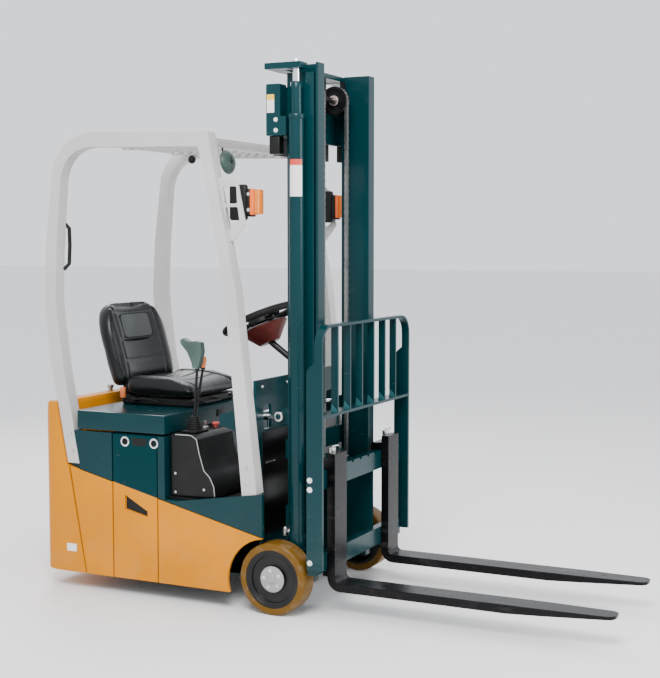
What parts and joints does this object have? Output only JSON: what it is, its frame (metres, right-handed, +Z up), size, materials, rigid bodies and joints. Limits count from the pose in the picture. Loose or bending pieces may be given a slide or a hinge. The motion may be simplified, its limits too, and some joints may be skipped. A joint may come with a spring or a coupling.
{
  "type": "forklift truck",
  "caption": "Small electric three-wheel counterbalance forklift with a two-stage mast, load backrest, forks, seat, steering wheel and slatted overhead guard.",
  "frame": {"origin": "on the ground under the middle of the overall length, on the centre plane", "axes": "+X forward along the forks, +Y to the driver's left, +Z up"},
  "size_m": [2.547, 0.93, 2.253],
  "materials": {
    "yellow_paint": "gloss paint on sheet steel and casting",
    "teal_paint": "gloss paint on steel",
    "guard_paint": "satin paint on steel tube",
    "black_steel": "satin paint or oiled steel",
    "black_plastic": "moulded, fine grain",
    "seat_vinyl": "sewn vinyl over foam",
    "tyre_polyurethane": "cast polyurethane band",
    "chrome": "ground and plated",
    "bare_steel": "machined",
    "lamp": "moulded lens and housing"
  },
  "bodies": {
    "truck": {"chassis_frame": "teal_paint", "battery": "black_plastic", "counterweight": "yellow_paint", "skirt_rear_right": "yellow_paint", "skirt_rear_left": "yellow_paint", "skirt_front_right": "yellow_paint", "skirt_front_left": "yellow_paint", "side_console": "black_plastic", "control_levers": "black_plastic", "floor_plate": "black_steel", "pedals": "black_plastic", "steering_column": "black_plastic", "guard_side_right": "guard_paint", "guard_side_left": "guard_paint", "guard_roof": "guard_paint", "round_mirror": "black_plastic", "headlamp_right": "lamp", "headlamp_left": "lamp", "front_axle": "black_steel"},
    "hood_lid": {"hood": "teal_paint", "seat_base": "black_plastic", "seat_cushion": "seat_vinyl", "seat_back": "seat_vinyl"},
    "door_right": {"battery_door_right": "yellow_paint"},
    "door_left": {"battery_door_left": "yellow_paint"},
    "steering_wheel": {"steering_wheel": "black_plastic"},
    "front_wheel_right": {"front_tyre_right": "tyre_polyurethane", "front_rim_right": "black_steel"},
    "front_wheel_left": {"front_tyre_left": "tyre_polyurethane", "front_rim_left": "black_steel"},
    "drive_steer": {"drive_unit": "black_steel"},
    "drive_wheel": {"drive_tyre": "tyre_polyurethane", "drive_rim": "black_steel"},
    "mast_outer": {"outer_mast": "teal_paint", "lift_cylinder_right": "teal_paint", "lift_cylinder_left": "teal_paint"},
    "mast_inner": {"inner_mast": "teal_paint", "lift_rod_right": "chrome", "lift_rod_left": "chrome", "chain_sheaves": "bare_steel", "chain_right": "black_steel", "chain_left": "black_steel"},
    "fork_carriage": {"carriage": "teal_paint", "load_backrest": "teal_paint"},
    "fork_arm_right": {"fork_right": "black_steel"},
    "fork_arm_left": {"fork_left": "black_steel"},
    "tilt_barrel_right": {"tilt_cylinder_right": "black_steel"},
    "tilt_barrel_left": {"tilt_cylinder_left": "black_steel"},
    "tilt_shaft_right": {"tilt_rod_right": "chrome"},
    "tilt_shaft_left": {"tilt_rod_left": "chrome"}
  },
  "joints": [
    {"name": "hood_open", "type": "hinge", "parent": "truck", "child": "hood_lid", "pos_m": [-1.0645, 0, 0.795], "axis": [0, -1, 0], "range_deg": [0, 45]},
    {"name": "door_open_right", "type": "hinge", "parent": "truck", "child": "door_right", "pos_m": [-0.6525, -0.465, 0.39], "axis": [0, 0, 1], "range_deg": [0, 90]},
    {"name": "door_open_left", "type": "hinge", "parent": "truck", "child": "door_left", "pos_m": [-0.6525, 0.465, 0.39], "axis": [0, 0, -1], "range_deg": [0, 90]},
    {"name": "steering_turn", "type": "hinge", "parent": "truck", "child": "steering_wheel", "pos_m": [-0.4025, 0, 1.185], "axis": [-0.4067, 0, 0.9135], "range_deg": [-360, 360]},
    {"name": "front_spin_right", "type": "hinge", "parent": "truck", "child": "front_wheel_right", "pos_m": [-0.1025, -0.4135, 0.1495], "axis": [0, 1, 0], "continuous": true},
    {"name": "front_spin_left", "type": "hinge", "parent": "truck", "child": "front_wheel_left", "pos_m": [-0.1025, 0.4135, 0.1495], "axis": [0, 1, 0], "continuous": true},
    {"name": "drive_steer_turn", "type": "hinge", "parent": "truck", "child": "drive_steer", "pos_m": [-1.0325, 0, 0.125], "axis": [0, 0, 1], "range_deg": [-90, 90]},
    {"name": "drive_spin", "type": "hinge", "parent": "drive_steer", "child": "drive_wheel", "pos_m": [-1.0325, 0, 0.125], "axis": [0, 1, 0], "continuous": true},
    {"name": "mast_tilt", "type": "hinge", "parent": "truck", "child": "mast_outer", "pos_m": [-0.1025, 0, 0.1495], "axis": [0, 1, 0], "range_deg": [-5, 3]},
    {"name": "mast_lift", "type": "slide", "parent": "mast_outer", "child": "mast_inner", "axis": [0, 0, 1], "range_m": [-0.035, 1.42]},
    {"name": "carriage_lift", "type": "slide", "parent": "mast_inner", "child": "fork_carriage", "axis": [0, 0, 1], "range_m": [-0.035, 1.42], "deforming": ["chain_right", "chain_left"]},
    {"name": "fork_shift_right", "type": "slide", "parent": "fork_carriage", "child": "fork_arm_right", "axis": [0, 1, 0], "range_m": [-0.1, 0.21]},
    {"name": "fork_shift_left", "type": "slide", "parent": "fork_carriage", "child": "fork_arm_left", "axis": [0, -1, 0], "range_m": [-0.1, 0.21]},
    {"name": "tilt_swing_right", "type": "hinge", "parent": "truck", "child": "tilt_barrel_right", "pos_m": [-0.3925, -0.303, 0.775], "axis": [0, 1, 0], "range_deg": [-1.5, 1.5]},
    {"name": "tilt_stroke_right", "type": "slide", "parent": "tilt_barrel_right", "child": "tilt_shaft_right", "axis": [0.9948, 0, 0.1015], "range_m": [-0.062, 0.04]},
    {"name": "tilt_swing_left", "type": "hinge", "parent": "truck", "child": "tilt_barrel_left", "pos_m": [-0.3925, 0.303, 0.775], "axis": [0, 1, 0], "range_deg": [-1.5, 1.5]},
    {"name": "tilt_stroke_left", "type": "slide", "parent": "tilt_barrel_left", "child": "tilt_shaft_left", "axis": [0.9948, 0, 0.1015], "range_m": [-0.062, 0.04]}
  ],
  "couplings": [
    {"joint": "steering_turn", "follows": "drive_steer_turn", "ratio": -4},
    {"joint": "carriage_lift", "follows": "mast_lift", "ratio": 1},
    {"joint": "tilt_swing_right", "follows": "mast_tilt", "ratio": 0.02037},
    {"joint": "tilt_stroke_right", "follows": "mast_tilt", "m_per_rad": 0.65177},
    {"joint": "tilt_swing_left", "follows": "mast_tilt", "ratio": 0.02037},
    {"joint": "tilt_stroke_left", "follows": "mast_tilt", "m_per_rad": 0.65177}
  ]
}
